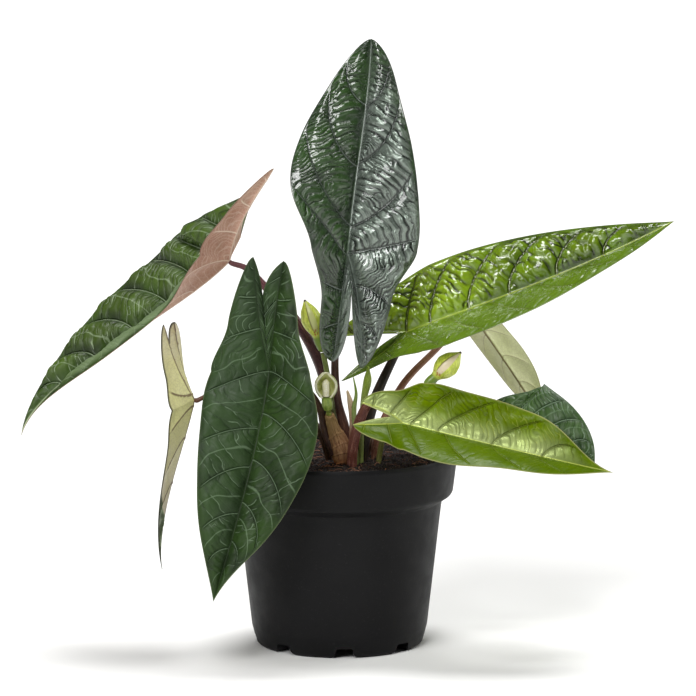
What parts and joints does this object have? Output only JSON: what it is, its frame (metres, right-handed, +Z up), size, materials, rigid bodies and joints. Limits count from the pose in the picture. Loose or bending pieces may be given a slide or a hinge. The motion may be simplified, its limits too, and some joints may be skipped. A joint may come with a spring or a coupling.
{
  "type": "potted alocasia plant",
  "caption": "Arrow-leaved aroid with quilted glossy and matt green leaves on slender stalks and small hooded flowers, rooted in peat in a round black nursery pot.",
  "frame": {"origin": "middle of the pot's underside, on the flat hub that stands on the floor", "axes": "+Z up along the pot axis, -Y towards the side that the pictured leaves are turned to, +X to its right, along the widest spread of the leaves"},
  "size_m": [0.3299, 0.1428, 0.3072],
  "materials": {
    "pot_plastic": "matt black moulded polypropylene",
    "potting_soil": "moist brown peat with coarse fibres",
    "corm_paper": "dry papery brown skin",
    "blade_a": "glossy dark metallic green, quilted",
    "blade_b": "satin deep green with pale thin veins",
    "blade_c": "satin green above, pink-brown below",
    "blade_d": "pale yellow-green underside",
    "blade_e": "glossy fresh green, strongly quilted",
    "blade_f": "glossy yellow-green",
    "blade_g": "pale grey-green underside",
    "blade_h": "satin dark green",
    "stalk_a": "satin red-brown stalk",
    "stalk_b": "satin red-brown stalk",
    "stalk_c": "satin purple-brown stalk",
    "stalk_d": "satin brown stalk",
    "stalk_e": "satin near-black stalk",
    "stalk_f": "satin red stalk",
    "stalk_g": "satin mottled stalk",
    "stalk_h": "satin brown stalk",
    "peduncle": "satin green flower stalk",
    "spathe": "satin yellow-green",
    "spathe_tube": "satin green",
    "spathe_hood": "satin cream green",
    "spadix": "matt cream, finely grained",
    "cataphyll": "dry pale brown sheath",
    "shoot": "satin young green"
  },
  "bodies": {
    "root": {"pot": "pot_plastic", "soil": "potting_soil", "corm": "corm_paper", "leaf_a": "blade_a", "stalk_a": "stalk_a", "leaf_b": "blade_b", "stalk_b": "stalk_b", "leaf_c": "blade_c", "stalk_c": "stalk_c", "leaf_d": "blade_d", "stalk_d": "stalk_d", "leaf_e": "blade_e", "stalk_e": "stalk_e", "leaf_f": "blade_f", "stalk_f": "stalk_f", "leaf_g": "blade_g", "stalk_g": "stalk_g", "leaf_h": "blade_h", "stalk_h": "stalk_h", "peduncle_1": "peduncle", "peduncle_2": "peduncle", "peduncle_3": "peduncle", "spathe_1": "spathe", "spathe_3": "spathe", "spathe_2_tube": "spathe_tube", "spathe_2_hood": "spathe_hood", "spadix_2": "spadix", "cataphyll": "cataphyll", "spear": "shoot", "bud": "shoot"}
  },
  "joints": []
}
